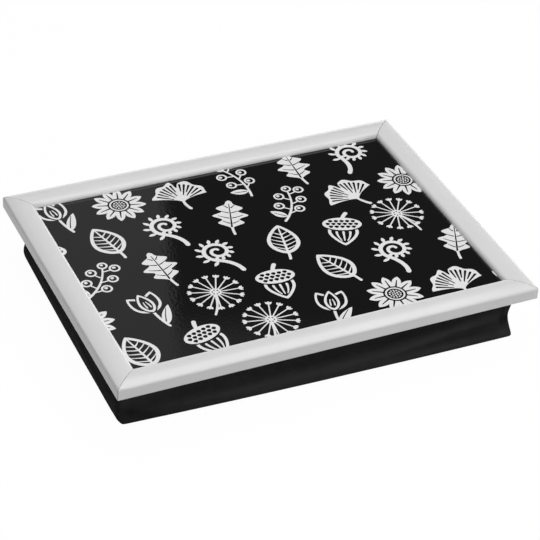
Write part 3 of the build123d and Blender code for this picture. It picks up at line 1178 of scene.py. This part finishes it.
# The soft creases fade out at the foot of the walls, since the bottom lies flat.
height = add_node(tree, "ShaderNodeSeparateXYZ", {"Vector": where}).outputs["Z"]
on_walls = add_node(
    tree, "ShaderNodeMapRange", {"Value": height, "From Min": drape_low, "From Max": drape_high}
)
slack = add_node(
    tree, "ShaderNodeMath", {0: drape.outputs["Fac"], 1: on_walls.outputs["Result"]}, operation="MULTIPLY"
)
soft_creases = add_node(
    tree, "ShaderNodeBump", {"Height": slack.outputs[0], "Strength": 1.0, "Distance": drape_depth}
).outputs["Normal"]
yarn = add_node(
    tree,
    "ShaderNodeBump",
    {"Height": threads.outputs[0], "Strength": 0.6, "Distance": thread_depth, "Normal": soft_creases},
)
tree.links.new(yarn.outputs["Normal"], shader.inputs["Normal"])
print("nodes in the cloth:", len(tree.nodes))

# %% Cushion
# Painted shading from 0 to 1, which lightens the cloth's colour: its level on the flat panels and on smooth
# walls, the painted shade that a rail takes off, and the painted light that each mm of a ridge adds (a
# hollow takes it off). The rail's painted shade grows from nothing at its start, in mm in from the tray's
# edge, to its whole over its run further in.
flat_panel_tone = 0.5
wall_tone = 0.66
rail_painted_shade = 0.34
crease_painted_shading = 0.13
rail_shade_start = 12
rail_shade_run = 9

cushion = new_piece("bead_cushion", points, faces, [black_cotton])


def cut_map(piece):
    """A UV map in metres: along the panel and down it on the walls, and the plan on the flat panels."""
    mesh = piece.data
    loops = np.empty(len(mesh.loops), int)
    mesh.loops.foreach_get("vertex_index", loops)
    place = np.empty(len(mesh.vertices) * 3)
    mesh.vertices.foreach_get("co", place)
    uv = place.reshape(-1, 3)[loops][:, :2].copy()
    wall_loops = 4 * cells_down * around
    column = loops[:wall_loops] % around
    row = loops[:wall_loops] // around
    face = np.arange(wall_loops) // 4
    wraps = (face % around == around - 1) & (column == 0)
    uv[:wall_loops, 0] = np.where(wraps, around, column) * cell_size
    uv[:wall_loops, 1] = row * cell_drop
    layer = mesh.uv_layers.new(name="cut")
    layer.data.foreach_set("uv", uv.reshape(-1))


def painted_shading_map(piece):
    """Painted shading in the cloth: lighter on ridges and bulges, darker in hollows and under a rail."""
    share = np.full(len(piece.data.vertices), flat_panel_tone)
    on_long_side = np.repeat([True, False, True, False], np.diff([*corner_columns, around]))
    across, along = half_width - np.abs(walls[..., 1]), half_length - np.abs(walls[..., 0])
    under = np.clip((np.where(on_long_side, across, along) / MM - rail_shade_start) / rail_shade_run, 0, 1)
    # Painted shade under the rails, and painted light on the ridges of the creases.
    shown = wall_tone - rail_painted_shade * under * under * (3 - 2 * under) + crease_painted_shading * lift
    share[: shown.size] = np.clip(shown, 0, 1).reshape(-1)
    piece.data.attributes.new("painted_shading", "FLOAT", "POINT").data.foreach_set("value", share)


cut_map(cushion)
painted_shading_map(cushion)
smooth_cloth = cushion.modifiers.new("smooth cloth", "SUBSURF")
smooth_cloth.levels = 1
smooth_cloth.render_levels = 1
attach(cushion, "root")
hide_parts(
    "bag_side_front",
    "bag_side_right",
    "bag_side_back",
    "bag_side_left",
    "bag_bottom_panel",
    "bead_filling",
)
print("cushion faces:", len(cushion.data.polygons))

# %% [markdown]
# ## Hidden parts
# Under the laminate are a hardboard core and kraft backing paper, which flat steel points hold up in the
# rebate. Card strips clamp the hem and the bag's lining, and wire staples go through them into the rails.
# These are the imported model's own solids, and each only gets the surface that the stock material has.

# %% Materials of stock parts


def stock_material(name, dark, light, grain, roughness, metallic=0.0, stretch=(1.0, 1.0, 1.0), relief=0.03):
    """A two-tone noise of a grain size in mm, stretched along its fibres, which also gives the relief."""
    material, tree, shader = new_material(name)
    shader.inputs["Roughness"].default_value = roughness
    shader.inputs["Metallic"].default_value = metallic
    where = add_node(tree, "ShaderNodeTexCoord").outputs["Object"]
    space = add_node(tree, "ShaderNodeMapping", {"Vector": where, "Scale": stretch}).outputs["Vector"]
    noise = add_node(tree, "ShaderNodeTexNoise", {"Vector": space, "Scale": 1 / (grain * MM), "Detail": 4.0})
    tint = add_node(
        tree,
        "ShaderNodeMix",
        {"Factor": noise.outputs["Fac"], "A": linear(dark), "B": linear(light)},
        data_type="RGBA",
    )
    tree.links.new(tint.outputs["Result"], shader.inputs["Base Color"])
    bump = add_node(
        tree, "ShaderNodeBump", {"Height": noise.outputs["Fac"], "Strength": 0.5, "Distance": relief * MM}
    )
    tree.links.new(bump.outputs["Normal"], shader.inputs["Normal"])
    return material


along_x, along_y, drawn = (0.25, 1.0, 1.0), (1.0, 0.2, 1.0), (0.2, 0.2, 1.0)
hardboard = stock_material("hardboard_pressed_fibre", "#5E4127", "#8A6440", 1.2, 0.8)
kraft_paper = stock_material("kraft_paper_plain", "#A08A69", "#BBA684", 0.8, 0.9, stretch=along_x)
galvanised = stock_material(
    "steel_galvanised_drawn", "#9A9B9D", "#C6C7C9", 0.5, 0.38, metallic=1.0, stretch=drawn, relief=0.01
)
grey_card = stock_material("tack_card_grey_brown", "#7E6D57", "#9C8B72", 0.7, 0.92)
lining = stock_material("cotton_lining_black", "#121212", "#242424", 0.6, 0.92, stretch=along_y)
stock = {
    "corner_v_nails": galvanised,
    "board_core": hardboard,
    "backing_paper": kraft_paper,
    "board_points": galvanised,
    "tack_strip_front": grey_card,
    "tack_strip_right": grey_card,
    "tack_strip_back": grey_card,
    "tack_strip_left": grey_card,
    "bag_staples": galvanised,
    "bag_top_lining": lining,
}
for name, material in stock.items():
    node = bpy.data.objects[name]
    node.data.materials.clear()
    node.data.materials.append(material)
print("stock parts given a material:", len(stock))

# %% Finish
low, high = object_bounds()
